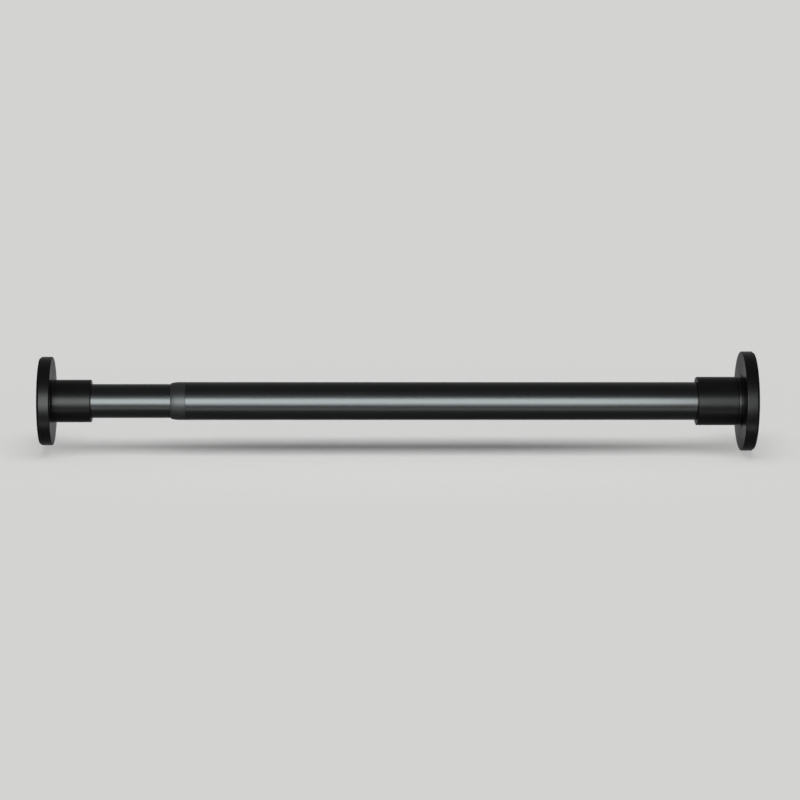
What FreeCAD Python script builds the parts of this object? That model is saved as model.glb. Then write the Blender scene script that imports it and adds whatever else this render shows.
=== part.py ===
import FreeCAD, Part
import math
import os

# Spring tension rod: two telescoping poles with padded wall flanges, a twist lock and a spring inside.
# All sizes are in millimetres. The rod lies along X. A station is the distance from the wall face of
# the large flange, measured along the rod towards the small flange, so x = -station.

# Poles
outer_tube_d = 28.0            # outside of the outer pole
outer_tube_wall = 0.8
outer_tube_length = 413.4
inner_tube_wall = 0.8
tube_edge = 0.2                # bevel of a deburred tube end
insert_gap = 0.05              # round a piece pressed into a tube, or a tube pushed into its flange

# Ferrule at the mouth of the outer pole
ferrule_lip = 10.9             # length that shows
ferrule_sleeve = 20.0          # length inside the tube
ferrule_wall = 0.6             # wall of the sleeve, between the two poles
ferrule_nose = 1.5             # rounding of the visible nose
ferrule_mouth = 0.5            # bevel of the mouth's inner edge
ferrule_lead = 0.3             # bevel of the hidden end
slide_gap = 0.05               # radial running clearance of the inner pole in the ferrule

# Wall pads
pad_thickness = 1.2
pad_inset = 1.0                # the pad's rim stands inside the flange's rim
pad_edge = 0.3
pad_centre = 5.0               # radius of the plain middle
pad_groove_pitch = 6.5
pad_groove_width = 1.4
pad_groove_depth = 0.4

# Flanges: what both share
disc_thickness = 8.2
disc_wall_edge = 0.4           # bevel beside the pad
disc_edge = 1.3                # rounding of the visible rim edge
disc_face_wall = 2.2           # moulded wall left over the cored pocket
disc_rim_wall = 2.6
hub_wall = 4.4                 # wall left round the socket, inside the disc
rib_count = 8
rib_width = 1.6
socket_floor = 5.0             # thickness of the floor that the pole seats on
socket_lead = 0.4              # lead-in at the mouth of the socket
collar_edge = 0.6              # bevel of the collar's end

# Large flange
large_disc_d = 73.5
large_collar_wall = 3.85
large_collar_length = 31.3
root_groove_width = 1.7        # undercut between the disc and the collar
root_groove_depth = 2.6
root_groove_edge = 0.5

# Small flange
small_disc_d = 65.2
small_collar_wall = 3.1
small_collar_length = 28.4
root_fillet = 2.2

# Plugs in the pole ends, and the screws that hold the flanges to them
plug_length = 22.0
plug_cap = 2.5                 # full disc at the screw's end
plug_core_wall = 2.6           # the core's depth below the ribs' tops
plug_rib_count = 6
plug_rib_width = 2.4
screw_d = 3.8
screw_length = 17.0
screw_point = 2.2
screw_head_d = 7.8
screw_head_height = 2.4
screw_head_dome = 1.3
screw_cross_width = 0.9
screw_cross_span = 4.6
screw_cross_depth = 1.3
washer_d = 9.0
washer_thickness = 0.6
hole_gap = 0.2                 # radial, round a screw in a washer or a floor
counterbore_gap = 0.4          # radial, round the washer
counterbore_floor = 1.4        # thickness left under the washer
screw_grip_gap = 0.05          # radial, in the plug

# Twist lock
inward_travel = 8.0            # how far the lock can still be pushed in, from the pose shown
tip_clearance = 5.0            # left between the rod's tip and the plug after that
lock_gap = 0.1                 # radial running clearance of the lock in the outer pole
sleeve_length = 28.0
sleeve_end_wall = 4.0
finger_count = 6
finger_slot = 2.0
finger_web = 2.0               # uncut ring beside the end wall
finger_tip_wall = 2.2
grip_groove_count = 6
grip_groove_width = 1.2
grip_groove_pitch = 2.8
grip_groove_depth = 0.5
wedge_length = 16.0
wedge_angle = 10.0             # half angle of the cone, in degrees
wedge_proud = 1.5              # the wedge's big end stands this far out of the sleeve
wedge_gap = 0.05               # between the cone and the fingers
wedge_turn_travel = 2.0        # what one full turn moves the wedge
key_count = 3
key_length = 8.0
key_side_gap = 0.15
key_top_gap = 0.6              # below the outside of the sleeve
key_inner_wall = 1.0           # cone left between the bore and the keys' inner ends

# Guide rod with its clips, washers and nut
rod_d = 8.0                    # turned end, which carries the wedge's thread
rod_hex = 8.0                  # across the flats
rod_gap = 0.05                 # radial running clearance of what turns on the rod
hex_gap = 0.1                  # on each flat, in the seat plug
hex_chamfer = 0.4
tip_overhang = 1.2
clip_thickness = 0.8
clip_side_gap = 0.05           # of a clip in its groove
clip_depth = 0.8               # of the groove
clip_play = 0.2                # between a clip or washer and the face that it bears on
clip_d = 15.0
clip_band = 2.2                # radial width of the clip's ring
clip_prong_width = 2.4
stop_play = 0.4                # left to the tip clip when the wedge is fully out
thrust_washer_d = 22.0
thrust_washer_thickness = 1.5
stud_d = 6.0                   # threaded end inside the inner pole
stud_overhang = 2.0
stop_washer_d = 18.0
stop_washer_thickness = 1.2
nut_flats = 10.0
nut_height = 5.0

# Spring
spring_length = 101.0          # between its seats, in the pose shown
spring_d = 20.0                # outside
spring_wire = 1.8
wire_sides = 8                 # flats that stand for the wire's round section
wire_points = 12               # points of the wire's centre line to a turn
spring_turns = 12.0            # active turns
spring_end_turns = 1.0         # closed turns at each end
spring_ground = 0.3            # share of the wire ground off each end
spring_seat_gap = 0.1          # to the seat plug
spring_stroke = 50.0

# Seat plug at the inner pole's end
seat_head = 3.0
seat_shank = 22.0
seat_stop_gap = 0.1            # to the stop washer
crimp_station = 11.0           # rolled groove of the inner pole, from its end
crimp_width = 2.6
crimp_depth = 0.6
closing_gap = 0.3              # left between ferrule and small collar with everything pushed in

# How far the solid that cuts or trims another one runs past it
reach_past = 1.0

# Radii of the poles and of what fits them
outer_r = outer_tube_d / 2
outer_bore_r = outer_r - outer_tube_wall
ferrule_sleeve_r = outer_bore_r - insert_gap
ferrule_bore_r = ferrule_sleeve_r - ferrule_wall
inner_r = ferrule_bore_r - slide_gap
inner_bore_r = inner_r - inner_tube_wall
lock_r = outer_bore_r - lock_gap
rod_r = rod_d / 2
rod_bore_r = rod_r + rod_gap
stud_r = stud_d / 2
spring_mean_r = (spring_d - spring_wire) / 2

# Stations along the rod, from the large flange inwards
disc_back = pad_thickness + disc_thickness
socket_depth = pad_thickness + socket_floor
outer_tube_end = socket_depth + outer_tube_length
ferrule_end = outer_tube_end + ferrule_lip
plug_end = socket_depth + plug_length
rod_tip = plug_end + inward_travel + tip_clearance
tip_clip_start = rod_tip + tip_overhang
wedge_start = tip_clip_start + clip_thickness + stop_play + wedge_turn_travel
wedge_end = wedge_start + wedge_length
sleeve_start = wedge_start + wedge_proud
sleeve_end = sleeve_start + sleeve_length
end_wall_start = sleeve_end - sleeve_end_wall
lock_clip_start = end_wall_start - clip_play - clip_thickness
thrust_start = sleeve_end + clip_play
hex_start = thrust_start + thrust_washer_thickness
spring_end = hex_start + spring_length
seat_start = spring_end + spring_seat_gap
inner_tube_start = seat_start + seat_head
seat_end = inner_tube_start + seat_shank
hex_end = seat_end + seat_stop_gap
nut_start = hex_end + stop_washer_thickness
stud_end = nut_start + nut_height + stud_overhang

# Stations of the small flange, which the closed length sets
exposed_inner = inward_travel + spring_stroke + closing_gap
small_collar_start = ferrule_end + exposed_inner
small_face = small_collar_start + small_collar_length + disc_thickness + pad_thickness
inner_tube_end = small_face - socket_depth

# The cone's taper, as a radius at a station
cone_big_r = lock_r - finger_tip_wall
cone_slope = math.tan(math.radians(wedge_angle))

# The two ends: the wall face's station, which way the rod lies from it, and what differs
large_end = {
    "face": 0.0,
    "inward": 1,
    "disc_r": large_disc_d / 2,
    "tube_r": outer_r,
    "bore_r": outer_bore_r,
    "collar_wall": large_collar_wall,
    "collar_end": disc_back + root_groove_width + large_collar_length,
    "grooved": True,
}
small_end = {
    "face": small_face,
    "inward": -1,
    "disc_r": small_disc_d / 2,
    "tube_r": inner_r,
    "bore_r": inner_bore_r,
    "collar_wall": small_collar_wall,
    "collar_end": disc_back + small_collar_length,
    "grooved": False,
}

centre = FreeCAD.Vector(0, 0, 0)
rod_axis = FreeCAD.Vector(1, 0, 0)
bevelled = "bevelled"


def at(station, radius, turn=0.0):
    # A point at a station of the rod, at a radius from its axis, turned about the axis in degrees.
    angle = math.radians(turn)
    return FreeCAD.Vector(-station, radius * math.sin(angle), radius * math.cos(angle))


def corner_points(before, corner, after):
    # Where the outline leaves one side of a corner, the middle of its arc, and where it joins
    # the next side. A sharp corner is one point, and a bevelled one has no arc.
    spot = at(corner[0], corner[1])
    if len(corner) == 2:
        return spot, None, spot
    size = corner[2]
    back = (at(before[0], before[1]) - spot).normalize()
    ahead = (at(after[0], after[1]) - spot).normalize()
    if bevelled in corner[3:]:
        return spot + back * size, None, spot + ahead * size
    half = back.getAngle(ahead) / 2
    reach = size / math.tan(half)
    middle = spot + (back + ahead).normalize() * (size / math.sin(half) - size)
    return spot + back * reach, middle, spot + ahead * reach


def outline_of(corners):
    # Closed outline through corners given as (station, radius), with a rounding if there is one,
    # and the word for bevelled after it where the corner is cut flat instead.
    passes = []
    for index, corner in enumerate(corners):
        follower = corners[(index + 1) % len(corners)]
        passes.append(corner_points(corners[index - 1], corner, follower))
    edges = []
    for index, (entry, middle, leave) in enumerate(passes):
        if middle is not None:
            edges.append(Part.Arc(entry, middle, leave).toShape())
        elif (leave - entry).Length > 1e-6:
            edges.append(Part.LineSegment(entry, leave).toShape())
        arrive = passes[(index + 1) % len(passes)][0]
        if (arrive - leave).Length > 1e-6:
            edges.append(Part.LineSegment(leave, arrive).toShape())
    return Part.Wire(edges)


def turned(corners):
    # Solid of revolution about the rod's axis.
    return Part.Face(outline_of(corners)).revolve(centre, rod_axis, 360)


def cylinder(start, end, radius):
    low = max(start, end)
    return Part.makeCylinder(radius, abs(end - start), FreeCAD.Vector(-low, 0, 0), rod_axis)


def tube(start, end, outside, inside):
    return cylinder(start, end, outside).cut(cylinder(start, end, inside))


def radial_bar(start, end, low, high, width, turn=0.0):
    # Box that stands out from the axis, from one radius to another, turned about the axis.
    length = abs(end - start)
    bar = Part.makeBox(length, width, high - low, FreeCAD.Vector(-max(start, end), -width / 2, low))
    bar.rotate(centre, rod_axis, turn)
    return bar


def around(count, make):
    # Copies of a shape made for each of a number of evenly spaced turns.
    shapes = [make(360.0 * index / count) for index in range(count)]
    return shapes[0].multiFuse(shapes[1:]) if count > 1 else shapes[0]


def hexagon(start, end, flats):
    corners = [at(start, flats / math.sqrt(3), 60.0 * index) for index in range(7)]
    return Part.Face(Part.makePolygon(corners)).extrude(FreeCAD.Vector(start - end, 0, 0))


def inside_end(end, depth):
    # Station of a point at some depth from an end's wall face.
    return end["face"] + end["inward"] * depth


def end_turned(end, corners):
    # Solid of revolution whose corners are given by depth from the end's wall face.
    return turned([(inside_end(end, corner[0]),) + tuple(corner[1:]) for corner in corners])


def end_cylinder(end, start, stop, radius):
    return cylinder(inside_end(end, start), inside_end(end, stop), radius)


def make_outer_tube():
    return turned([
        (socket_depth, outer_bore_r, tube_edge, bevelled),
        (socket_depth, outer_r, tube_edge, bevelled),
        (outer_tube_end, outer_r, tube_edge, bevelled),
        (outer_tube_end, outer_bore_r, tube_edge, bevelled),
    ])


def make_tube_ferrule():
    # Flush lip with a rounded nose, and a thin sleeve that guides the inner pole.
    return turned([
        (outer_tube_end - ferrule_sleeve, ferrule_bore_r),
        (outer_tube_end - ferrule_sleeve, ferrule_sleeve_r, ferrule_lead, bevelled),
        (outer_tube_end, ferrule_sleeve_r),
        (outer_tube_end, outer_r),
        (ferrule_end, outer_r, ferrule_nose),
        (ferrule_end, ferrule_bore_r, ferrule_mouth, bevelled),
    ])


def collar_r(end):
    return end["tube_r"] + insert_gap + end["collar_wall"]


def root_corners(end):
    # Where the disc meets the collar: an undercut groove on the large end, a fillet on the small.
    if not end["grooved"]:
        return [(disc_back, collar_r(end), root_fillet)]
    neck_r = collar_r(end) - root_groove_depth
    return [
        (disc_back, neck_r),
        (disc_back + root_groove_width, neck_r),
        (disc_back + root_groove_width, collar_r(end), root_groove_edge, bevelled),
    ]


def make_flange(end):
    # Moulded in one piece: disc, collar, socket for the pole, screw hole, and a ribbed pocket
    # behind the pad.
    body = end_turned(end, [
        (pad_thickness, 0.0),
        (pad_thickness, end["disc_r"], disc_wall_edge, bevelled),
        (disc_back, end["disc_r"], disc_edge),
    ] + root_corners(end) + [
        (end["collar_end"], collar_r(end), collar_edge, bevelled),
        (end["collar_end"], 0.0),
    ])
    socket_r = end["tube_r"] + insert_gap
    socket = end_turned(end, [
        (socket_depth, 0.0),
        (socket_depth, socket_r),
        (end["collar_end"] - socket_lead, socket_r),
        (end["collar_end"], socket_r + socket_lead),
        (end["collar_end"], 0.0),
    ])
    seat = socket_depth - counterbore_floor
    hole = end_cylinder(end, seat, socket_depth, screw_d / 2 + hole_gap)
    counterbore = end_cylinder(end, pad_thickness, seat, washer_d / 2 + counterbore_gap)
    return body.cut(socket).cut(hole).cut(counterbore).cut(flange_pocket(end))


def flange_pocket(end):
    # Ring-shaped pocket that cores out the disc, crossed by radial ribs.
    inside = end["tube_r"] + insert_gap + hub_wall
    outside = end["disc_r"] - disc_rim_wall
    start = inside_end(end, pad_thickness)
    stop = inside_end(end, disc_back - disc_face_wall)
    pocket = tube(start, stop, outside, inside)
    return pocket.cut(around(rib_count, lambda turn: radial_bar(
        start, stop, inside - rib_width, outside + rib_width, rib_width, turn)))


def make_pad(end):
    # Rubber disc with ring grooves in its wall face.
    pad_r = end["disc_r"] - pad_inset
    pad = end_turned(end, [
        (0.0, 0.0),
        (0.0, pad_r, pad_edge, bevelled),
        (pad_thickness, pad_r),
        (pad_thickness, 0.0),
    ])
    groove_start = pad_centre
    while groove_start + pad_groove_width < pad_r - pad_groove_width:
        groove = tube(inside_end(end, 0.0), inside_end(end, pad_groove_depth),
                      groove_start + pad_groove_width, groove_start)
        pad = pad.cut(groove)
        groove_start += pad_groove_pitch
    return pad


def make_tube_plug(end):
    # Ribbed plug pressed into the pole's end, with a hole that the screw bites in.
    plug_r = end["bore_r"] - insert_gap
    start = inside_end(end, socket_depth)
    stop = inside_end(end, socket_depth + plug_length)
    core = cylinder(start, stop, plug_r - plug_core_wall)
    cap = end_cylinder(end, socket_depth, socket_depth + plug_cap, plug_r)
    ribs = around(plug_rib_count, lambda turn: radial_bar(
        start, stop, 0.0, plug_r + reach_past, plug_rib_width, turn))
    ribs = ribs.common(cylinder(start, stop, plug_r))
    hole = cylinder(start, stop, screw_d / 2 + screw_grip_gap)
    return core.fuse(cap).fuse(ribs).cut(hole).removeSplitter()


def make_cap_washer(end):
    seat = socket_depth - counterbore_floor
    return tube(inside_end(end, seat - washer_thickness), inside_end(end, seat),
                washer_d / 2, screw_d / 2 + hole_gap)


def make_cap_screw(end):
    # Domed head with a cross recess, plain shank and a point.
    under = socket_depth - counterbore_floor - washer_thickness
    top = under - screw_head_height
    screw = end_turned(end, [
        (top, 0.0),
        (top, screw_head_d / 2, screw_head_dome, bevelled),
        (under, screw_head_d / 2),
        (under, screw_d / 2),
        (under + screw_length - screw_point, screw_d / 2),
        (under + screw_length, 0.0),
    ])
    start = inside_end(end, top)
    stop = inside_end(end, top + screw_cross_depth)
    for turn in (0.0, 90.0):
        span = screw_cross_span / 2
        screw = screw.cut(radial_bar(start, stop, -span, span, screw_cross_width, turn))
    return screw


def cone_r(station):
    return cone_big_r - (station - wedge_start) * cone_slope


def make_expander_sleeve():
    # Split collet: grooved fingers round a taper, joined by an end wall that the rod turns in.
    body = turned([
        (sleeve_start, cone_r(sleeve_start) + wedge_gap),
        (sleeve_start, lock_r, tube_edge, bevelled),
        (sleeve_end, lock_r, tube_edge, bevelled),
        (sleeve_end, rod_bore_r),
        (end_wall_start, rod_bore_r),
        (end_wall_start, cone_r(wedge_end) + wedge_gap),
        (wedge_end, cone_r(wedge_end) + wedge_gap),
    ])
    for index in range(grip_groove_count):
        start = sleeve_start + grip_groove_pitch * (index + 0.5)
        body = body.cut(tube(start, start + grip_groove_width, lock_r + reach_past, lock_r - grip_groove_depth))
    slot_end = end_wall_start - finger_web
    return body.cut(around(finger_count, lambda turn: finger_gap(slot_end, turn)))


def finger_gap(slot_end, turn):
    # Slot between two fingers, with a round end.
    gap = radial_bar(sleeve_start - reach_past, slot_end, 0.0, lock_r + reach_past, finger_slot, turn)
    eye = Part.makeCylinder(finger_slot / 2, lock_r + reach_past, at(slot_end, 0.0), FreeCAD.Vector(0, 0, 1))
    eye.rotate(centre, rod_axis, turn)
    return gap.fuse(eye)


def make_wedge_cone():
    # Threaded cone whose keys ride in the sleeve's slots, so that it slides and can't turn.
    cone = turned([
        (wedge_start, rod_bore_r),
        (wedge_start, cone_big_r, tube_edge, bevelled),
        (wedge_end, cone_r(wedge_end), tube_edge, bevelled),
        (wedge_end, rod_bore_r),
    ])
    width = finger_slot - 2 * key_side_gap
    keys = around(key_count, lambda turn: radial_bar(
        wedge_start, wedge_start + key_length, rod_bore_r + key_inner_wall, lock_r - key_top_gap, width, turn))
    return cone.fuse(keys).removeSplitter()


def clip_groove(start):
    groove_start = start - clip_side_gap
    groove_end = start + clip_thickness + clip_side_gap
    return tube(groove_start, groove_end, rod_r + reach_past, rod_r - clip_depth)


def make_guide_rod():
    # Hexagonal rod that the inner pole slides on and turns, with a turned end for the wedge
    # and a stud for the stop nut.
    wedge_part = turned([
        (rod_tip, 0.0),
        (rod_tip, rod_r, hex_chamfer, bevelled),
        (hex_start, rod_r),
        (hex_start, 0.0),
    ])
    stud = turned([
        (hex_end, 0.0),
        (hex_end, stud_r),
        (stud_end, stud_r, hex_chamfer, bevelled),
        (stud_end, 0.0),
    ])
    corner_r = rod_hex / math.sqrt(3)
    chamfered = turned([
        (hex_start, 0.0),
        (hex_start, corner_r - hex_chamfer),
        (hex_start + hex_chamfer, corner_r),
        (hex_end - hex_chamfer, corner_r),
        (hex_end, corner_r - hex_chamfer),
        (hex_end, 0.0),
    ])
    shaft = hexagon(hex_start, hex_end, rod_hex).common(chamfered)
    rod = wedge_part.fuse(shaft).fuse(stud)
    return rod.cut(clip_groove(tip_clip_start)).cut(clip_groove(lock_clip_start))


def make_clip(start):
    # Open retaining clip: a ring with three prongs that reach into the rod's groove.
    end = start + clip_thickness
    groove_r = rod_r - clip_depth
    ring_r = clip_d / 2 - clip_band
    ring = tube(start, end, clip_d / 2, ring_r)
    prongs = [radial_bar(start, end, groove_r, ring_r + clip_band / 2, clip_prong_width, turn)
              for turn in (90.0, 180.0, 270.0)]
    mouth = radial_bar(start, end, 0.0, clip_d, 2 * groove_r, 0.0)
    hub = cylinder(start, end, groove_r)
    return ring.multiFuse(prongs).cut(mouth).cut(hub).removeSplitter()


def make_thrust_washer():
    return tube(thrust_start, hex_start, thrust_washer_d / 2, rod_bore_r)


def make_stop_washer():
    return tube(hex_end, nut_start, stop_washer_d / 2, stud_r + rod_gap)


def make_stop_nut():
    # Hexagonal nut with both faces bevelled.
    nut_end = nut_start + nut_height
    corner_r = nut_flats / math.sqrt(3)
    blank = turned([
        (nut_start, stud_r + rod_gap),
        (nut_start, corner_r - hex_chamfer),
        (nut_start + hex_chamfer, corner_r),
        (nut_end - hex_chamfer, corner_r),
        (nut_end, corner_r - hex_chamfer),
        (nut_end, stud_r + rod_gap),
    ])
    return hexagon(nut_start, nut_end, nut_flats).common(blank)


def spring_rise(turns):
    # How far the wire's centre has climbed after some turns: closed ends, even pitch between.
    total = spring_turns + 2 * spring_end_turns
    ground = spring_wire * (0.5 - spring_ground)
    closed = spring_wire * spring_end_turns
    height = spring_length - 2 * ground
    if turns <= spring_end_turns:
        return ground + closed * turns / spring_end_turns
    if turns >= total - spring_end_turns:
        return ground + height - closed * (total - turns) / spring_end_turns
    share = (turns - spring_end_turns) / spring_turns
    return ground + closed + share * (height - 2 * closed)


def wire_section(start):
    # Eight-sided section of the spring's wire, square to the coil where the wire begins.
    across = spring_wire / 2 / math.cos(math.pi / wire_sides)
    corners = []
    for index in range(wire_sides + 1):
        angle = 2 * math.pi * (index + 0.5) / wire_sides
        corners.append(start + FreeCAD.Vector(across * math.sin(angle), 0, across * math.cos(angle)))
    return Part.makePolygon(corners)


def make_tension_spring():
    # One wire wound to a coil, its end turns closed and ground flat.
    total = spring_turns + 2 * spring_end_turns
    points = []
    for index in range(int(total * wire_points) + 1):
        turns = index / wire_points
        points.append(at(hex_start + spring_rise(turns), spring_mean_r, 360.0 * turns))
    path = Part.BSplineCurve()
    path.interpolate(points)
    spine = Part.Wire(path.toShape())
    coil = spine.makePipeShell([wire_section(points[0])], True, True)
    ground_ends = cylinder(hex_start, spring_end, spring_d)
    return coil.common(ground_ends)


def make_inner_tube():
    # Thinner pole with a rolled groove that grips the seat plug.
    groove_start = inner_tube_start + crimp_station
    groove_end = groove_start + crimp_width

    def wall(radius, order):
        run = [
            (inner_tube_start, radius, tube_edge, bevelled),
            (groove_start - crimp_depth, radius),
            (groove_start, radius - crimp_depth),
            (groove_end, radius - crimp_depth),
            (groove_end + crimp_depth, radius),
            (inner_tube_end, radius, tube_edge, bevelled),
        ]
        return run[::order]

    return turned(wall(inner_r, 1) + wall(inner_bore_r, -1))


def make_seat_plug():
    # Guide head that the spring pushes on, and a shank held in the inner pole by its groove.
    shank_r = inner_bore_r - insert_gap
    groove_start = inner_tube_start + crimp_station
    groove_end = groove_start + crimp_width
    body = turned([
        (seat_start, 0.0),
        (seat_start, lock_r, tube_edge, bevelled),
        (inner_tube_start, lock_r, tube_edge, bevelled),
        (inner_tube_start, shank_r),
        (groove_start - crimp_depth, shank_r),
        (groove_start, shank_r - crimp_depth),
        (groove_end, shank_r - crimp_depth),
        (groove_end + crimp_depth, shank_r),
        (seat_end, shank_r, tube_edge, bevelled),
        (seat_end, 0.0),
    ])
    return body.cut(hexagon(seat_start, seat_end, rod_hex + 2 * hex_gap))


def make_nodes():
    nodes = {
        "outer_tube": make_outer_tube(),
        "tube_ferrule": make_tube_ferrule(),
        "expander_sleeve": make_expander_sleeve(),
        "wedge_cone": make_wedge_cone(),
        "guide_rod": make_guide_rod(),
        "tip_clip": make_clip(tip_clip_start),
        "retaining_clip": make_clip(lock_clip_start),
        "thrust_washer": make_thrust_washer(),
        "tension_spring": make_tension_spring(),
        "seat_plug": make_seat_plug(),
        "stop_washer": make_stop_washer(),
        "stop_nut": make_stop_nut(),
        "inner_tube": make_inner_tube(),
    }
    for name, end in (("large", large_end), ("small", small_end)):
        nodes[name + "_flange"] = make_flange(end)
        nodes[name + "_pad"] = make_pad(end)
        nodes[name + "_tube_plug"] = make_tube_plug(end)
        nodes[name + "_cap_screw"] = make_cap_screw(end)
        nodes[name + "_cap_washer"] = make_cap_washer(end)
    return nodes


os.makedirs("parts", exist_ok=True)
for name, shape in make_nodes().items():
    shape.exportStep("parts/" + name + ".step")
    print(name, "solids", len(shape.Solids), "valid", shape.isValid(), "volume", round(shape.Volume, 1))
print("length as shown", round(small_face, 2), "small collar starts at", round(small_collar_start, 2))
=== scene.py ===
import bpy
import bmesh
import math
from mathutils import Matrix, Vector


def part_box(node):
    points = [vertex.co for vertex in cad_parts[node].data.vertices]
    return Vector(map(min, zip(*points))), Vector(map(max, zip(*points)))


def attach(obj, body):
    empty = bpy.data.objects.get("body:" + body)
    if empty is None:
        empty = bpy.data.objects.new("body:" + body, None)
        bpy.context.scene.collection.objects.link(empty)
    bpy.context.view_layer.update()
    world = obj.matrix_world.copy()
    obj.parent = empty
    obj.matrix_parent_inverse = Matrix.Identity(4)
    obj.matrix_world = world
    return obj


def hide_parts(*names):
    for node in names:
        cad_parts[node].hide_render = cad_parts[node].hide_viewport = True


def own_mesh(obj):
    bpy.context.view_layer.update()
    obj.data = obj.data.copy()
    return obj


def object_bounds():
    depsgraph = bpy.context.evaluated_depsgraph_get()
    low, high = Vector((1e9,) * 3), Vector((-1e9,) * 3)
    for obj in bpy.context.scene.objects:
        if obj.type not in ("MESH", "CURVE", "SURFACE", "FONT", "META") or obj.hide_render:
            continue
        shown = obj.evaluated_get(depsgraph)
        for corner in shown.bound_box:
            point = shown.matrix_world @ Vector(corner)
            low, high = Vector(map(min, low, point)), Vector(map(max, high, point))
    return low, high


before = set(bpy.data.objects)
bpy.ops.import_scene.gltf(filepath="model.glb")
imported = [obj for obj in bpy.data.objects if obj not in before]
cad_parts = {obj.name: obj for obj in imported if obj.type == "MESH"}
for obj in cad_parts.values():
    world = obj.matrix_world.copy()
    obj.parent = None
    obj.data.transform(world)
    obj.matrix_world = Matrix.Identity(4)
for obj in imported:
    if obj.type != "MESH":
        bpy.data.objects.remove(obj)  # the rod lies along X, large flange at x = 0, small one towards -X, metres
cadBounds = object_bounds()
print("frame loaded:", len(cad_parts), "nodes")

millimetre = 0.001
fullTurn = 2 * math.pi
quarterTurn = math.pi / 2
rodAxis = (1, 0, 0)
weld = 1e-7  # verts closer than this are one
level = 1e-9  # smaller distances than this count as none


# Mesh tools

def nodeSpan(node):
    # a node's lowest x, highest x and radius
    low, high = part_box(node)
    return low.x, high.x, max(high.y, high.z)


def axisEdge(edge):
    return all(math.hypot(vert.co.y, vert.co.z) < level for vert in edge.verts)


def sectionInto(mesh, corners, segments):
    # closed section in the XZ plane; a corner is (x, radius, rounding), all in metres
    verts = [mesh.verts.new((x, 0, radius)) for x, radius, rounding in corners]
    face = mesh.faces.new(verts)
    for vert, (x, radius, rounding) in zip(verts, corners):
        if rounding > 0:
            bmesh.ops.bevel(mesh, geom=[vert], offset=rounding, offset_type="OFFSET",
                            affect="VERTICES", segments=segments, profile=0.5, material=-1)
    bmesh.ops.delete(mesh, geom=mesh.faces[:], context="FACES_ONLY")
    onAxis = [edge for edge in mesh.edges if axisEdge(edge)]
    bmesh.ops.delete(mesh, geom=onAxis, context="EDGES")


def turnedMesh(corners, segments, steps):
    # the section turned round the rod's axis to a closed body
    mesh = bmesh.new()
    sectionInto(mesh, corners, segments)
    bmesh.ops.spin(mesh, geom=mesh.verts[:] + mesh.edges[:], cent=(0, 0, 0), axis=rodAxis,
                   angle=fullTurn, steps=steps, use_merge=True, use_duplicate=False)
    bmesh.ops.remove_doubles(mesh, verts=mesh.verts[:], dist=weld)
    bmesh.ops.recalc_face_normals(mesh, faces=mesh.faces[:])
    return mesh


def absorb(mesh, other):
    # adds another bmesh's shells to this one
    data = bpy.data.meshes.new("part")
    other.to_mesh(data)
    other.free()
    mesh.from_mesh(data)
    bpy.data.meshes.remove(data)


def boxMesh(low, high):
    mesh = bmesh.new()
    size = Vector(high) - Vector(low)
    place = Matrix.Translation((Vector(low) + Vector(high)) / 2) @ Matrix.Diagonal((*size, 1))
    bmesh.ops.create_cube(mesh, size=1, matrix=place)
    return mesh


threadShape = {
    "halfWidth": 0.42,  # half of a slice's foot, as a share of the pitch
    "sunk": 0.97,  # share of its core's radius at which the foot sits
    "steps": 32,  # slices to a turn
}


def threadMesh(start, end, core, crest, pitch):
    # a thread as a row of V-shaped slices along its helix, which aren't joined to one ridge
    mesh = bmesh.new()
    root = core * threadShape["sunk"]
    half = pitch * threadShape["halfWidth"]
    steps = threadShape["steps"]
    corners = ((start, 0, root), (start + half, 0, crest), (start + 2 * half, 0, root))
    mesh.faces.new([mesh.verts.new(spot) for spot in corners])
    turns = (end - start - 2 * half) / pitch
    count = max(int(turns * steps), 1)
    bmesh.ops.spin(mesh, geom=mesh.faces[:], cent=(0, 0, 0), axis=rodAxis,
                   dvec=(pitch / steps, 0, 0), angle=fullTurn * count / steps, steps=count,
                   use_duplicate=True)
    bmesh.ops.recalc_face_normals(mesh, faces=mesh.faces[:])
    return mesh


def hexMesh(start, end, flats, chamfer):
    # hexagonal bar along the axis with chamfered ends
    mesh = bmesh.new()
    place = Matrix.Translation(((start + end) / 2, 0, 0)) @ Matrix.Rotation(quarterTurn, 4, "Y")
    corner = flats / math.sqrt(3)
    bmesh.ops.create_cone(mesh, cap_ends=True, segments=6, radius1=corner, radius2=corner,
                          depth=end - start, matrix=place)
    rims = [edge for edge in mesh.edges if abs(edge.verts[0].co.x - edge.verts[1].co.x) < level]
    bmesh.ops.bevel(mesh, geom=rims, offset=chamfer, offset_type="OFFSET", affect="EDGES",
                    segments=2, profile=0.5, material=-1)
    return mesh


sharpAngle = math.radians(35)


def finishPiece(name, mesh, material, body, nodes):
    # names the piece, shades it and hangs it on the body that carries it
    for face in mesh.faces:
        face.smooth = True
    for edge in mesh.edges:
        if len(edge.link_faces) == 2 and edge.calc_face_angle(0) > sharpAngle:
            edge.smooth = False
    data = bpy.data.meshes.new(name)
    mesh.to_mesh(data)
    mesh.free()
    piece = bpy.data.objects.new(name, data)
    bpy.context.scene.collection.objects.link(piece)
    piece.data.materials.append(material)
    weighted = piece.modifiers.new("even shading", "WEIGHTED_NORMAL")
    weighted.keep_sharp = True
    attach(piece, body)
    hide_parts(*nodes)
    return piece


# Materials

def newMaterial(name, roughness, metallic=0.0, specular=0.5):
    material = bpy.data.materials.new(name)
    material.use_nodes = True
    shader = material.node_tree.nodes["Principled BSDF"]
    shader.inputs["Roughness"].default_value = roughness
    shader.inputs["Metallic"].default_value = metallic
    shader.inputs["Specular IOR Level"].default_value = specular
    return material, material.node_tree, shader


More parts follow.
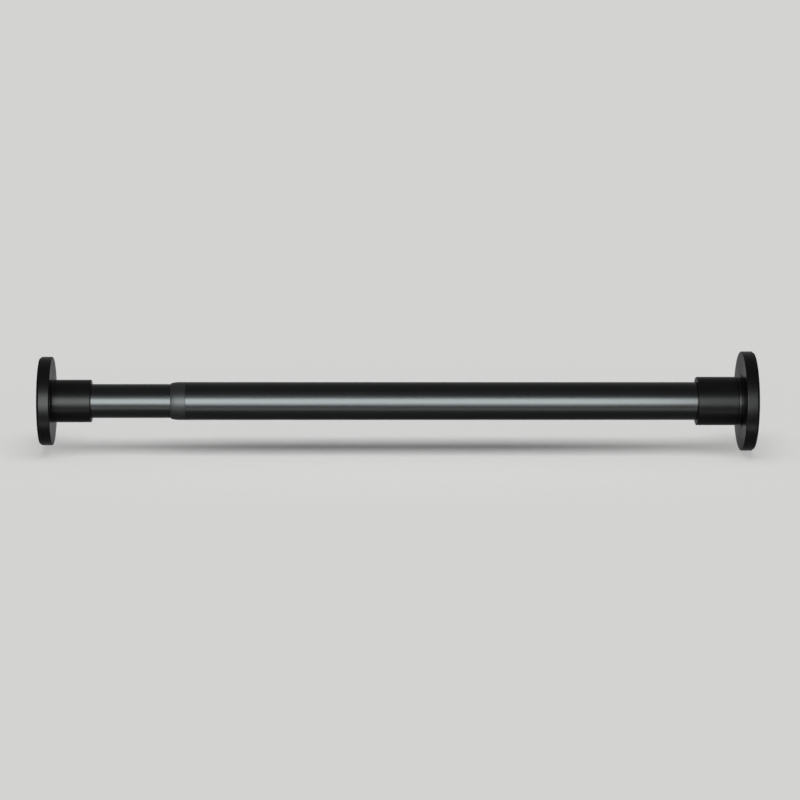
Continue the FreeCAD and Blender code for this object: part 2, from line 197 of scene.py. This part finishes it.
def noise(tree, scale, detail, stretch=(1, 1, 1)):
    # noise over Object coordinates, which the stretch packs closer along each axis
    place = tree.nodes.new("ShaderNodeTexCoord")
    mapping = tree.nodes.new("ShaderNodeMapping")
    mapping.inputs["Scale"].default_value = stretch
    texture = tree.nodes.new("ShaderNodeTexNoise")
    texture.inputs["Scale"].default_value = scale
    texture.inputs["Detail"].default_value = detail
    tree.links.new(place.outputs["Object"], mapping.inputs["Vector"])
    tree.links.new(mapping.outputs["Vector"], texture.inputs["Vector"])
    return texture.outputs[0]


def colourBetween(tree, shader, factor, dark, light):
    # a pattern's middle range drives the base colour between two tones
    ramp = tree.nodes.new("ShaderNodeValToRGB")
    for stop, place, tone in zip(ramp.color_ramp.elements, (0.35, 0.65), (dark, light)):
        stop.position = place
        stop.color = (*tone, 1)
    tree.links.new(factor, ramp.inputs["Fac"])
    tree.links.new(ramp.outputs["Color"], shader.inputs["Base Color"])


def spread(tree, factor, socket, low, high):
    # a pattern's 0.3 to 0.7 drives a socket between two values
    span = tree.nodes.new("ShaderNodeMapRange")
    span.inputs["From Min"].default_value = 0.3
    span.inputs["From Max"].default_value = 0.7
    span.inputs["To Min"].default_value = low
    span.inputs["To Max"].default_value = high
    tree.links.new(factor, span.inputs["Value"])
    tree.links.new(span.outputs["Result"], socket)


def relief(tree, shader, height, strength, depth):
    # fine bumps, their depth in millimetres
    bump = tree.nodes.new("ShaderNodeBump")
    bump.inputs["Strength"].default_value = strength
    bump.inputs["Distance"].default_value = depth * millimetre
    tree.links.new(height, bump.inputs["Height"])
    tree.links.new(bump.outputs["Normal"], shader.inputs["Normal"])


def maths(tree, operation, first, second):
    # a math node; each term is a number or another node's output
    node = tree.nodes.new("ShaderNodeMath")
    node.operation = operation
    for socket, value in zip(node.inputs, (first, second)):
        if isinstance(value, (int, float)):
            socket.default_value = value
        else:
            tree.links.new(value, socket)
    return node.outputs["Value"]


def stretchGloss(tree, shader, strength):
    # gloss spreads round the rod more than along it, as drawn and polished faces do
    place = tree.nodes.new("ShaderNodeTexCoord")
    parts = tree.nodes.new("ShaderNodeSeparateXYZ")
    circle = tree.nodes.new("ShaderNodeCombineXYZ")
    world = tree.nodes.new("ShaderNodeVectorTransform")
    world.vector_type = "VECTOR"
    world.convert_from = "OBJECT"
    world.convert_to = "WORLD"
    tree.links.new(place.outputs["Object"], parts.inputs["Vector"])
    tree.links.new(maths(tree, "MULTIPLY", parts.outputs["Z"], -1), circle.inputs["Y"])
    tree.links.new(parts.outputs["Y"], circle.inputs["Z"])
    tree.links.new(circle.outputs["Vector"], world.inputs["Vector"])
    tree.links.new(world.outputs["Vector"], shader.inputs["Tangent"])
    shader.inputs["Anisotropic"].default_value = strength


enamelLook = {
    "dark": (0.0010, 0.0011, 0.0012),
    "light": (0.0020, 0.0021, 0.0022),
    "roughness": (0.211, 0.247),
    "specular": 0.085,
    "stretch": 0.8,
}


def makeEnamel():
    # baked black enamel over drawn steel tube: faint lines along the pole, fine orange peel
    material, tree, shader = newMaterial("blackEnamel", 0.24, specular=enamelLook["specular"])
    lines = noise(tree, scale=1.0, detail=3.0, stretch=(4, 420, 420))
    cloud = noise(tree, scale=60.0, detail=4.0)
    peel = noise(tree, scale=900.0, detail=2.0)
    colourBetween(tree, shader, cloud, enamelLook["dark"], enamelLook["light"])
    spread(tree, lines, shader.inputs["Roughness"], *enamelLook["roughness"])
    relief(tree, shader, peel, strength=0.02, depth=0.03)
    stretchGloss(tree, shader, enamelLook["stretch"])
    return material


plasticLook = {
    "dark": (0.0026, 0.0026, 0.0026),
    "light": (0.0038, 0.0038, 0.0038),
    "roughness": (0.275, 0.315),
    "specular": 0.0265,
    "stretch": 0.6,
    "tint": (1.0, 0.965, 0.925),
}


def makePlastic(name, look, grain):
    # moulded plastic with a fine matt grain and faint rings left by the turned mould
    material, tree, shader = newMaterial(name, 0.4, specular=look["specular"])
    shader.inputs["Specular Tint"].default_value = (*look["tint"], 1)
    stretchGloss(tree, shader, look["stretch"])
    cloud = noise(tree, scale=90.0, detail=4.0)
    rings = noise(tree, scale=1.0, detail=2.0, stretch=(1600, 8, 8))
    fine = noise(tree, scale=grain, detail=2.0)
    colourBetween(tree, shader, cloud, look["dark"], look["light"])
    spread(tree, rings, shader.inputs["Roughness"], *look["roughness"])
    relief(tree, shader, fine, strength=0.12, depth=0.05)
    return material


ferruleLook = {
    "dark": (0.0090, 0.0090, 0.0095),
    "light": (0.0118, 0.0118, 0.0122),
    "roughness": (0.42, 0.48),
    "specular": 0.092,
    "stretch": 0.0,
    "tint": (1.0, 1.0, 1.0),
}

rubberLook = {
    "dark": (0.0008, 0.0008, 0.0008),
    "light": (0.0020, 0.0020, 0.0020),
}


def makeRubber():
    # dull rubber with a dusty bloom
    material, tree, shader = newMaterial("blackRubber", 0.8, specular=0.008)
    bloom = noise(tree, scale=140.0, detail=6.0)
    pores = noise(tree, scale=1800.0, detail=2.0)
    colourBetween(tree, shader, bloom, rubberLook["dark"], rubberLook["light"])
    spread(tree, bloom, shader.inputs["Roughness"], 0.72, 0.86)
    relief(tree, shader, pores, strength=0.25, depth=0.06)
    return material


def makeNylon(name, dark, light):
    # moulded nylon, slightly mottled
    material, tree, shader = newMaterial(name, 0.45)
    mottle = noise(tree, scale=220.0, detail=5.0)
    colourBetween(tree, shader, mottle, dark, light)
    spread(tree, mottle, shader.inputs["Roughness"], 0.38, 0.52)
    relief(tree, shader, mottle, strength=0.1, depth=0.05)
    return material


def makeSteel(name, dark, light, roughness, stretch):
    # plated or drawn steel; the stretch sets which way its marks run
    material, tree, shader = newMaterial(name, roughness[0], metallic=1.0)
    marks = noise(tree, scale=1.0, detail=4.0, stretch=stretch)
    stain = noise(tree, scale=160.0, detail=3.0)
    colourBetween(tree, shader, stain, dark, light)
    spread(tree, marks, shader.inputs["Roughness"], *roughness)
    relief(tree, shader, marks, strength=0.08, depth=0.02)
    return material


enamel = makeEnamel()
plastic = makePlastic("blackPlastic", plasticLook, grain=2200.0)
ferrulePlastic = makePlastic("ferrulePlastic", ferruleLook, grain=1500.0)
rubber = makeRubber()
whiteNylon = makeNylon("whiteNylon", (0.62, 0.59, 0.50), (0.74, 0.72, 0.64))
greyNylon = makeNylon("greyNylon", (0.07, 0.07, 0.075), (0.11, 0.11, 0.115))
zincSteel = makeSteel("zincSteel", (0.50, 0.52, 0.55), (0.62, 0.63, 0.64),
                      roughness=(0.28, 0.42), stretch=(300, 300, 300))
brightSteel = makeSteel("brightSteel", (0.46, 0.46, 0.46), (0.58, 0.58, 0.57),
                        roughness=(0.2, 0.34), stretch=(6, 900, 900))
springSteel = makeSteel("springSteel", (0.07, 0.065, 0.06), (0.13, 0.12, 0.11),
                        roughness=(0.3, 0.45), stretch=(250, 250, 250))
print("materials made")


# Poles and ferrule

poleSize = {
    "wall": 0.8,
    "edge": 0.2,
    "turnSteps": 192,
    "crimpAt": 11.0,  # from the inner pole's end inside the outer one
    "crimpWidth": 2.6,
    "crimpDepth": 0.6,
}


def makeOuterPole():
    low, high, radius = nodeSpan("outer_tube")
    bore = radius - poleSize["wall"] * millimetre
    edge = poleSize["edge"] * millimetre
    corners = [(low, bore, edge), (low, radius, edge), (high, radius, edge), (high, bore, edge)]
    mesh = turnedMesh(corners, segments=4, steps=poleSize["turnSteps"])
    return finishPiece("outerPole", mesh, enamel, "outer_pole", ["outer_tube"])


def makeInnerPole():
    # thinner pole with the rolled groove that grips the seat plug
    low, high, radius = nodeSpan("inner_tube")
    bore = radius - poleSize["wall"] * millimetre
    edge = poleSize["edge"] * millimetre
    depth = poleSize["crimpDepth"] * millimetre
    right = high - poleSize["crimpAt"] * millimetre
    left = right - poleSize["crimpWidth"] * millimetre
    soft = depth / 2
    dip = [(left - depth, 0), (left, depth), (right, depth), (right + depth, 0)]
    outside = [(x, radius - down, soft) for x, down in dip]
    inside = [(x, bore - down, soft) for x, down in reversed(dip)]
    outside = [(low, radius, edge)] + outside + [(high, radius, edge)]
    inside = [(high, bore, edge)] + inside + [(low, bore, edge)]
    mesh = turnedMesh(outside + inside, segments=4, steps=poleSize["turnSteps"])
    return finishPiece("innerPole", mesh, enamel, "inner_pole", ["inner_tube"])


ferruleSize = {
    "lip": 10.9,
    "wall": 0.6,
    "insertGap": 0.05,
    # depth, drop and rounding of the nose's corners
    "nose": ((0.0, 0.9, 0.25), (1.4, 0.5, 0.9), (4.6, 0.0, 1.8)),
    "mouth": 0.1,
    "lead": 0.3,
    "shoulder": 0.15,
}


def makeFerrule():
    # flush lip with a long curved nose, and the thin sleeve inside the outer pole
    low, high, radius = nodeSpan("tube_ferrule")
    step = low + ferruleSize["lip"] * millimetre
    sleeve = radius - (poleSize["wall"] + ferruleSize["insertGap"]) * millimetre
    bore = sleeve - ferruleSize["wall"] * millimetre
    mesh = turnedMesh([
        (high, bore, 0),
        (high, sleeve, ferruleSize["lead"] * millimetre),
        (step, sleeve, 0),
        (step, radius, ferruleSize["shoulder"] * millimetre),
    ] + [
        (low + depth * millimetre, radius - drop * millimetre, rounding * millimetre)
        for depth, drop, rounding in reversed(ferruleSize["nose"])
    ] + [
        (low, bore, ferruleSize["mouth"] * millimetre),
    ], segments=8, steps=poleSize["turnSteps"])
    return finishPiece("ferrule", mesh, ferrulePlastic, "outer_pole", ["tube_ferrule"])


makeOuterPole()
makeInnerPole()
makeFerrule()
print("poles and ferrule made")


# Flanges and pads; depths run from the wall face of each end towards the middle

flangeSize = {
    "padThickness": 1.2,
    "discThickness": 8.2,
    "wallEdge": 0.4,
    "rimEdge": 0.9,
    "socketDepth": 6.2,
    "socketGap": 0.05,
    "socketLead": 0.4,
    "collarEdge": 0.6,
    "faceWall": 2.2,
    "rimWall": 2.6,
    "hubWall": 4.4,
    "ribs": 8,
    "ribWidth": 1.6,
    "ribSunk": 0.1,  # how far each rib reaches into the walls at its ends
    "holeRadius": 2.1,
    "counterboreRadius": 4.9,
    "counterboreDepth": 3.6,
}

largeEnd = {
    "prefix": "large",
    "body": "outer_pole",
    "tube": "outer_tube",
    "inward": -1,
    "collarWall": 3.85,
    "grooveWidth": 3.3,
    "grooveDepth": 0.9,
    "grooveEdge": 0.2,
    "bead": (1.2, 2.9),  # depths into the groove where its ring starts and ends
    "beadDrop": (0.05, 0.32),  # how far the ring stays under the collar at those depths
    "boss": 1.8,  # how far the low step on the disc reaches past the collar
    "bossHeight": 0.5,
    "rootEdge": 0.25,
    "footEdge": 0.1,
    "fillet": 0.0,
}

smallEnd = {
    "prefix": "small",
    "body": "inner_pole",
    "tube": "inner_tube",
    "inward": 1,
    "collarWall": 3.1,
    "fillet": 0.9,
}


def wallFace(end):
    low, high, _ = nodeSpan(end["prefix"] + "_pad")
    return high if end["inward"] < 0 else low


def atDepth(end, depth):
    # x of a depth in millimetres from the end's wall face
    return wallFace(end) + end["inward"] * depth * millimetre


def rootCorners(end, back, collar):
    # low step and undercut groove with a ring in it on the large end, plain fillet on the small one
    if end["fillet"]:
        return [(atDepth(end, back), collar, end["fillet"] * millimetre)]
    neck = collar - end["grooveDepth"] * millimetre
    outer = atDepth(end, back + end["grooveWidth"])
    step = atDepth(end, back + end["bossHeight"])
    boss = collar + end["boss"] * millimetre
    ringStart, ringEnd = (atDepth(end, back + depth) for depth in end["bead"])
    startRadius, endRadius = (collar - drop * millimetre for drop in end["beadDrop"])
    foot = end["footEdge"] * millimetre
    soft = end["rootEdge"] * millimetre
    return [
        (atDepth(end, back), boss, foot),
        (step, boss, soft),
        (step, neck, 0),
        (ringStart, neck, 0),
        (ringStart, startRadius, soft),
        (ringEnd, endRadius, soft),
        (ringEnd, neck, 0),
        (outer, neck, 0),
        (outer, collar, end["grooveEdge"] * millimetre),
    ]


def makeFlange(end):
    size = flangeSize
    low, high, discRadius = nodeSpan(end["prefix"] + "_flange")
    collarEnd = low if end["inward"] < 0 else high
    socket = nodeSpan(end["tube"])[2] + size["socketGap"] * millimetre
    collar = socket + end["collarWall"] * millimetre
    back = size["padThickness"] + size["discThickness"]
    wall = atDepth(end, size["padThickness"])
    floor = atDepth(end, size["socketDepth"])
    lead = size["socketLead"] * millimetre
    seat = atDepth(end, size["padThickness"] + size["counterboreDepth"])
    pocketFloor = atDepth(end, back - size["faceWall"])
    pocketIn = socket + size["hubWall"] * millimetre
    pocketOut = discRadius - size["rimWall"] * millimetre
    mesh = turnedMesh([
        (seat, size["holeRadius"] * millimetre, 0),
        (seat, size["counterboreRadius"] * millimetre, 0),
        (wall, size["counterboreRadius"] * millimetre, 0),
        (wall, pocketIn, 0),
        (pocketFloor, pocketIn, 0),
        (pocketFloor, pocketOut, 0),
        (wall, pocketOut, 0),
        (wall, discRadius, size["wallEdge"] * millimetre),
        (atDepth(end, back), discRadius, size["rimEdge"] * millimetre),
    ] + rootCorners(end, back, collar) + [
        (collarEnd, collar, size["collarEdge"] * millimetre),
        (collarEnd, socket + lead, 0),
        (collarEnd - end["inward"] * lead, socket, 0),
        (floor, socket, 0),
        (floor, size["holeRadius"] * millimetre, 0),
    ], segments=7, steps=poleSize["turnSteps"])
    half = size["ribWidth"] / 2 * millimetre
    sunk = size["ribSunk"] * millimetre
    near, far = sorted((wall, pocketFloor))
    for index in range(size["ribs"]):
        rib = boxMesh((near, -half, pocketIn - sunk), (far, half, pocketOut + sunk))
        turn = Matrix.Rotation(fullTurn * index / size["ribs"], 3, "X")
        bmesh.ops.rotate(rib, verts=rib.verts[:], cent=(0, 0, 0), matrix=turn)
        absorb(mesh, rib)
    name = end["prefix"] + "Flange"
    return finishPiece(name, mesh, plastic, end["body"], [end["prefix"] + "_flange"])


padSize = {
    "edge": 0.3,
    "centre": 5.0,
    "pitch": 6.5,
    "grooveWidth": 1.4,
    "grooveDepth": 0.4,
    "grooveEdge": 0.15,
}


def makePad(end):
    # rubber disc with rounded ring grooves in its wall face
    radius = nodeSpan(end["prefix"] + "_pad")[2]
    face = atDepth(end, 0)
    back = atDepth(end, flangeSize["padThickness"])
    bottom = atDepth(end, padSize["grooveDepth"])
    edge = padSize["grooveEdge"] * millimetre
    corners = [(back, 0, 0), (face, 0, 0)]
    start = padSize["centre"] * millimetre
    while start + 2 * padSize["grooveWidth"] * millimetre < radius:
        stop = start + padSize["grooveWidth"] * millimetre
        corners += [(face, start, edge), (bottom, start, edge),
                    (bottom, stop, edge), (face, stop, edge)]
        start += padSize["pitch"] * millimetre
    corners += [(face, radius, padSize["edge"] * millimetre), (back, radius, 0)]
    mesh = turnedMesh(corners, segments=3, steps=128)
    name = end["prefix"] + "Pad"
    return finishPiece(name, mesh, rubber, end["body"], [end["prefix"] + "_pad"])


for end in (largeEnd, smallEnd):
    makeFlange(end)
    makePad(end)
print("flanges and pads made")


# Screws, rod, nut and spring inside

screwSize = {
    "radius": 1.55,
    "crest": 1.9,
    "pitch": 1.4,
    "point": 2.2,
    "headHeight": 2.4,
    "dome": 1.3,
    "crossWidth": 0.9,
    "crossSpan": 4.6,
    "crossDepth": 1.3,
}


def makeCapScrew(end):
    # domed head, threaded shank and point; the cross is pressed in by a cutter
    size = screwSize
    node = end["prefix"] + "_cap_screw"
    low, high, headRadius = nodeSpan(node)
    top, tip = (high, low) if end["inward"] < 0 else (low, high)
    inward = end["inward"] * millimetre
    under = top + inward * size["headHeight"]
    shank = tip - inward * size["point"]
    mesh = turnedMesh([
        (top, 0, 0),
        (top, headRadius, size["dome"] * millimetre),
        (under, headRadius, 0),
        (under, size["radius"] * millimetre, 0),
        (shank, size["radius"] * millimetre, 0),
        (tip, 0, 0),
    ], segments=6, steps=64)
    near, far = sorted((under, shank))
    absorb(mesh, threadMesh(near, far, size["radius"] * millimetre, size["crest"] * millimetre,
                            size["pitch"] * millimetre))
    name = end["prefix"] + "CapScrew"
    piece = finishPiece(name, mesh, zincSteel, end["body"], [node])
    cutCross(piece, top, inward)
    return piece


def cutCross(piece, top, inward):
    # sinks the cross recess into the screw's head and keeps the result
    span = screwSize["crossSpan"] / 2 * millimetre
    half = screwSize["crossWidth"] / 2 * millimetre
    near, far = sorted((top - inward, top + inward * screwSize["crossDepth"]))
    cutter = boxMesh((near, -half, -span), (far, half, span))
    absorb(cutter, boxMesh((near, -span, -half), (far, span, half)))
    data = bpy.data.meshes.new("cross")
    cutter.to_mesh(data)
    cutter.free()
    tool = bpy.data.objects.new("cross", data)
    bpy.context.scene.collection.objects.link(tool)
    cut = piece.modifiers.new("cross", "BOOLEAN")
    cut.object = tool
    cut.operation = "DIFFERENCE"
    cut.solver = "EXACT"
    cut.use_self = True
    bpy.context.view_layer.update()
    evaluated = piece.evaluated_get(bpy.context.evaluated_depsgraph_get())
    shaped = bpy.data.meshes.new_from_object(evaluated)
    piece.modifiers.remove(cut)
    piece.data = shaped
    bpy.data.objects.remove(tool)


rodSize = {
    "turned": 8.0,
    "flats": 8.0,
    "stud": 6.0,
    "chamfer": 0.4,
    "clipGap": 0.05,
    "clipDepth": 0.8,
    "wedgePitch": 2.0,
    "studPitch": 1.0,
    "threadDepth": 0.55,
    "threadEdge": 0.2,
}


def clipGroove(clip, nose):
    # corners of the groove in the nose that a clip sits in
    left, right, _ = nodeSpan(clip)
    gap = rodSize["clipGap"] * millimetre
    neck = nose - rodSize["clipDepth"] * millimetre
    return [(right + gap, nose, 0), (right + gap, neck, 0),
            (left - gap, neck, 0), (left - gap, nose, 0)]


def makeGuideRod():
    # hexagonal bar with a threaded nose for the wedge, two clip grooves and a threaded stud
    size = rodSize
    low, high, _ = nodeSpan("guide_rod")
    shoulder = nodeSpan("thrust_washer")[0]
    hexLeft = nodeSpan("stop_washer")[1]
    nose = size["turned"] / 2 * millimetre
    stud = size["stud"] / 2 * millimetre
    chamfer = size["chamfer"] * millimetre
    depth = size["threadDepth"] * millimetre
    soft = size["threadEdge"] * millimetre
    threadEnd, threadStart, _ = nodeSpan("wedge_cone")
    root = nose - depth
    corners = [(shoulder, 0, 0), (high, 0, 0), (high, nose, chamfer)]
    corners += clipGroove("tip_clip", nose)
    corners += [(threadStart, nose, soft), (threadStart - depth, root, 0),
                (threadEnd + depth, root, 0), (threadEnd, nose, soft)]
    corners += clipGroove("retaining_clip", nose)
    corners.append((shoulder, nose, 0))
    mesh = turnedMesh(corners, segments=2, steps=64)
    absorb(mesh, threadMesh(threadEnd, threadStart, root, nose, size["wedgePitch"] * millimetre))
    absorb(mesh, hexMesh(hexLeft, shoulder, size["flats"] * millimetre, chamfer))
    studRoot = stud - depth / 2
    studCorners = [(low, 0, 0), (low, studRoot, chamfer), (hexLeft, studRoot, 0), (hexLeft, 0, 0)]
    absorb(mesh, turnedMesh(studCorners, segments=2, steps=48))
    absorb(mesh, threadMesh(low + chamfer, hexLeft, studRoot, stud, size["studPitch"] * millimetre))
    return finishPiece("guideRod", mesh, brightSteel, "spindle", ["guide_rod"])


springSize = {
    "wire": 1.8,
    "turns": 12.0,
    "endTurns": 1.0,  # closed turns at each end
    "ground": 0.3,  # share of the wire that is ground off at each end
    "stepsPerTurn": 40,
    "sides": 14,
    "stroke": 50.0,
}


def makeSpring():
    # a ring of wire wound in three runs, closed turns at the ends, both ends ground flat
    size = springSize
    low, high, reach = nodeSpan("tension_spring")
    wire = size["wire"] / 2 * millimetre
    steps = size["stepsPerTurn"]
    inset = size["wire"] * (0.5 - size["ground"]) * millimetre
    closedRise = size["wire"] * size["endTurns"] * millimetre
    openRise = (high - low) - 2 * inset - 2 * closedRise
    mesh = bmesh.new()
    spot = Matrix.Translation((high - inset, 0, reach - wire))
    bmesh.ops.create_circle(mesh, cap_ends=False, segments=size["sides"], radius=wire,
                            matrix=spot @ Matrix.Rotation(quarterTurn, 4, "X"))
    front = mesh.verts[:] + mesh.edges[:]
    closedRun = (size["endTurns"], closedRise)
    for turns, rise in (closedRun, (size["turns"], openRise), closedRun):
        count = int(turns * steps)
        done = bmesh.ops.spin(mesh, geom=front, cent=(0, 0, 0), axis=rodAxis,
                              dvec=(-rise / count, 0, 0), angle=fullTurn * turns, steps=count,
                              use_duplicate=False)
        front = done["geom_last"]
    bmesh.ops.remove_doubles(mesh, verts=mesh.verts[:], dist=weld)
    bmesh.ops.holes_fill(mesh, edges=[edge for edge in mesh.edges if edge.is_boundary], sides=0)
    for x, side in ((high, 1), (low, -1)):
        whole = mesh.verts[:] + mesh.edges[:] + mesh.faces[:]
        cut = bmesh.ops.bisect_plane(mesh, geom=whole, dist=weld, plane_co=(x, 0, 0),
                                     plane_no=(side, 0, 0), clear_outer=True)
        edges = [item for item in cut["geom_cut"] if isinstance(item, bmesh.types.BMEdge)]
        bmesh.ops.holes_fill(mesh, edges=edges, sides=0)
    bmesh.ops.recalc_face_normals(mesh, faces=mesh.faces[:])
    piece = finishPiece("tensionSpring", mesh, springSteel, "spindle", ["tension_spring"])
    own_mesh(piece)
    return piece


for end in (largeEnd, smallEnd):
    makeCapScrew(end)
makeGuideRod()
makeSpring()

# the other inner pieces keep their solids and take a finish
innerFinish = {
    "large_tube_plug": greyNylon,
    "small_tube_plug": greyNylon,
    "large_cap_washer": zincSteel,
    "small_cap_washer": zincSteel,
    "expander_sleeve": whiteNylon,
    "wedge_cone": greyNylon,
    "tip_clip": springSteel,
    "retaining_clip": springSteel,
    "thrust_washer": zincSteel,
    "stop_washer": zincSteel,
    "stop_nut": zincSteel,
    "seat_plug": whiteNylon,
}
for node, material in innerFinish.items():
    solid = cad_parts[node]
    solid.data.materials.clear()
    solid.data.materials.append(material)
print("inner pieces made")


# Floor, light and camera

setting = {
    "backdrop": (0.651, 0.651, 0.645),
    "ambient": 0.26,
    "floorColour": (0.66, 0.66, 0.655),
    "floorGlow": 0.09,  # share of the backdrop's own colour that the camera sees in the floor
    "floorHalf": 1.4,
    "fadeMiddle": -0.261,  # the floor melts into the backdrop away from here
    "fadeAlong": (0.06, 0.42),  # solid within the first distance, gone beyond the second
    "fadeFront": (-0.04, -0.16),
    "fadeBack": (0.08, 0.30),
}


def makeFloor():
    # pale sheet under the large flange that melts into the backdrop
    mesh = bmesh.new()
    bmesh.ops.create_grid(mesh, x_segments=1, y_segments=1, size=setting["floorHalf"],
                          matrix=Matrix.Translation((setting["fadeMiddle"], 0, cadBounds[0].z)))
    data = bpy.data.meshes.new("floor")
    mesh.to_mesh(data)
    mesh.free()
    floor = bpy.data.objects.new("floor", data)
    bpy.context.scene.collection.objects.link(floor)
    floor.data.materials.append(floorMaterial())
    return floor


def fade(tree, value, full, gone):
    # 1 at the first value, 0 at the second, smooth between
    span = tree.nodes.new("ShaderNodeMapRange")
    span.interpolation_type = "SMOOTHSTEP"
    span.inputs["From Min"].default_value = full
    span.inputs["From Max"].default_value = gone
    span.inputs["To Min"].default_value = 1
    span.inputs["To Max"].default_value = 0
    tree.links.new(value, span.inputs["Value"])
    return span.outputs["Result"]


def floorMaterial():
    material = bpy.data.materials.new("paleFloor")
    material.use_nodes = True
    tree = material.node_tree
    tree.nodes.clear()
    output = tree.nodes.new("ShaderNodeOutputMaterial")
    mix = tree.nodes.new("ShaderNodeMixShader")
    diffuse = tree.nodes.new("ShaderNodeBsdfDiffuse")
    glow = tree.nodes.new("ShaderNodeEmission")
    sheet = tree.nodes.new("ShaderNodeMixShader")
    path = tree.nodes.new("ShaderNodeLightPath")
    clear = tree.nodes.new("ShaderNodeBsdfTransparent")
    place = tree.nodes.new("ShaderNodeTexCoord")
    parts = tree.nodes.new("ShaderNodeSeparateXYZ")
    diffuse.inputs["Color"].default_value = (*setting["floorColour"], 1)
    glow.inputs["Color"].default_value = (*setting["backdrop"], 1)
    share = maths(tree, "MULTIPLY", path.outputs["Is Camera Ray"], setting["floorGlow"])
    tree.links.new(share, sheet.inputs["Fac"])
    tree.links.new(diffuse.outputs["BSDF"], sheet.inputs[1])
    tree.links.new(glow.outputs["Emission"], sheet.inputs[2])
    tree.links.new(place.outputs["Object"], parts.inputs["Vector"])
    off = maths(tree, "SUBTRACT", parts.outputs["X"], setting["fadeMiddle"])
    along = fade(tree, maths(tree, "ABSOLUTE", off, 0), *setting["fadeAlong"])
    front = fade(tree, parts.outputs["Y"], *setting["fadeFront"])
    back = fade(tree, parts.outputs["Y"], *setting["fadeBack"])
    solid = maths(tree, "MULTIPLY", along, maths(tree, "MULTIPLY", front, back))
    tree.links.new(solid, mix.inputs["Fac"])
    tree.links.new(clear.outputs["BSDF"], mix.inputs[1])
    tree.links.new(sheet.outputs["Shader"], mix.inputs[2])
    tree.links.new(mix.outputs["Shader"], output.inputs["Surface"])
    return material


def makeWorld():
    # the backdrop's colour for what the camera, gloss and glass see, softer for light on surfaces
    world = bpy.data.worlds.new("studio")
    bpy.context.scene.world = world
    world.use_nodes = True
    tree = world.node_tree
    tree.nodes.clear()
    output = tree.nodes.new("ShaderNodeOutputWorld")
    mix = tree.nodes.new("ShaderNodeMixShader")
    ambient = tree.nodes.new("ShaderNodeBackground")
    backdrop = tree.nodes.new("ShaderNodeBackground")
    path = tree.nodes.new("ShaderNodeLightPath")
    ambient.inputs["Color"].default_value = (1, 1, 1, 1)
    ambient.inputs["Strength"].default_value = setting["ambient"]
    backdrop.inputs["Color"].default_value = (*setting["backdrop"], 1)
    seen = maths(tree, "MAXIMUM", path.outputs["Is Camera Ray"], path.outputs["Is Glossy Ray"])
    seenToo = maths(tree, "MAXIMUM", seen, path.outputs["Is Transmission Ray"])
    tree.links.new(seenToo, mix.inputs["Fac"])
    tree.links.new(ambient.outputs["Background"], mix.inputs[1])
    tree.links.new(backdrop.outputs["Background"], mix.inputs[2])
    tree.links.new(mix.outputs["Shader"], output.inputs["Surface"])


lamps = {
    # place in metres, size across and up in metres, radiance, tint, what it lights
    "frontStrip": {"place": (-0.645, -2.6, 0.54), "size": (2.0, 1.62), "radiance": 79.0,
                   "tint": (0.90, 0.98, 1.0), "diffuse": False, "glossy": True},
    "lowCard": {"place": (-0.36, -0.052, -0.030), "size": (0.86, 0.010), "radiance": 13.5,
                "tint": (0.97, 0.99, 1.0), "diffuse": False, "glossy": True},
    "topSheet": {"place": (-0.26, -0.235, 1.5), "size": (1.6, 1.06), "radiance": 4.1,
                 "tint": (1.0, 1.0, 1.0), "diffuse": True, "glossy": False},
    "frontFill": {"place": (-0.26, -2.4, 0.9), "size": (2.2, 1.2), "radiance": 1.1,
                  "tint": (1.0, 1.0, 1.0), "diffuse": True, "glossy": False},
}


def makeLamp(name, look):
    # an area lamp that faces the rod's axis straight across from its place
    data = bpy.data.lights.new(name, "AREA")
    data.shape = "RECTANGLE"
    across, up = look["size"]
    data.size, data.size_y = across, up
    data.energy = look["radiance"] * math.pi * across * up  # watts
    data.color = look["tint"]
    lamp = bpy.data.objects.new(name, data)
    bpy.context.scene.collection.objects.link(lamp)
    place = Vector(look["place"])
    lamp.location = place
    aim = Vector((place.x, 0, 0)) - place
    lamp.rotation_euler = aim.to_track_quat("-Z", "Y").to_euler()
    lamp.visible_camera = False
    lamp.visible_diffuse = look["diffuse"]
    lamp.visible_glossy = look["glossy"]


view = {
    "target": (-0.26159, 0.0, 0.00074),
    "distance": 2.12,
    "yaw": 1.36,
    "elevation": 15.0,
    "lens": 129.12,
    "sensor": 36.0,
}


def makeCamera():
    # level aim first, then the whole camera is raised round the rod's axis
    data = bpy.data.cameras.new("camera")
    data.lens = view["lens"]
    data.sensor_width = view["sensor"]
    camera = bpy.data.objects.new("camera", data)
    bpy.context.scene.collection.objects.link(camera)
    yaw = math.radians(view["yaw"])
    back = Vector((-math.sin(yaw), -math.cos(yaw), 0))
    place = Matrix.Translation(Vector(view["target"]) + back * view["distance"])
    aim = (-back).to_track_quat("-Z", "Y").to_matrix().to_4x4()
    camera.matrix_world = Matrix.Rotation(math.radians(-view["elevation"]), 4, "X") @ place @ aim
    bpy.context.scene.camera = camera


makeFloor()
makeWorld()
for name, look in lamps.items():
    makeLamp(name, look)
makeCamera()
bpy.context.scene.view_settings.view_transform = "Standard"
print("floor, light and camera made")
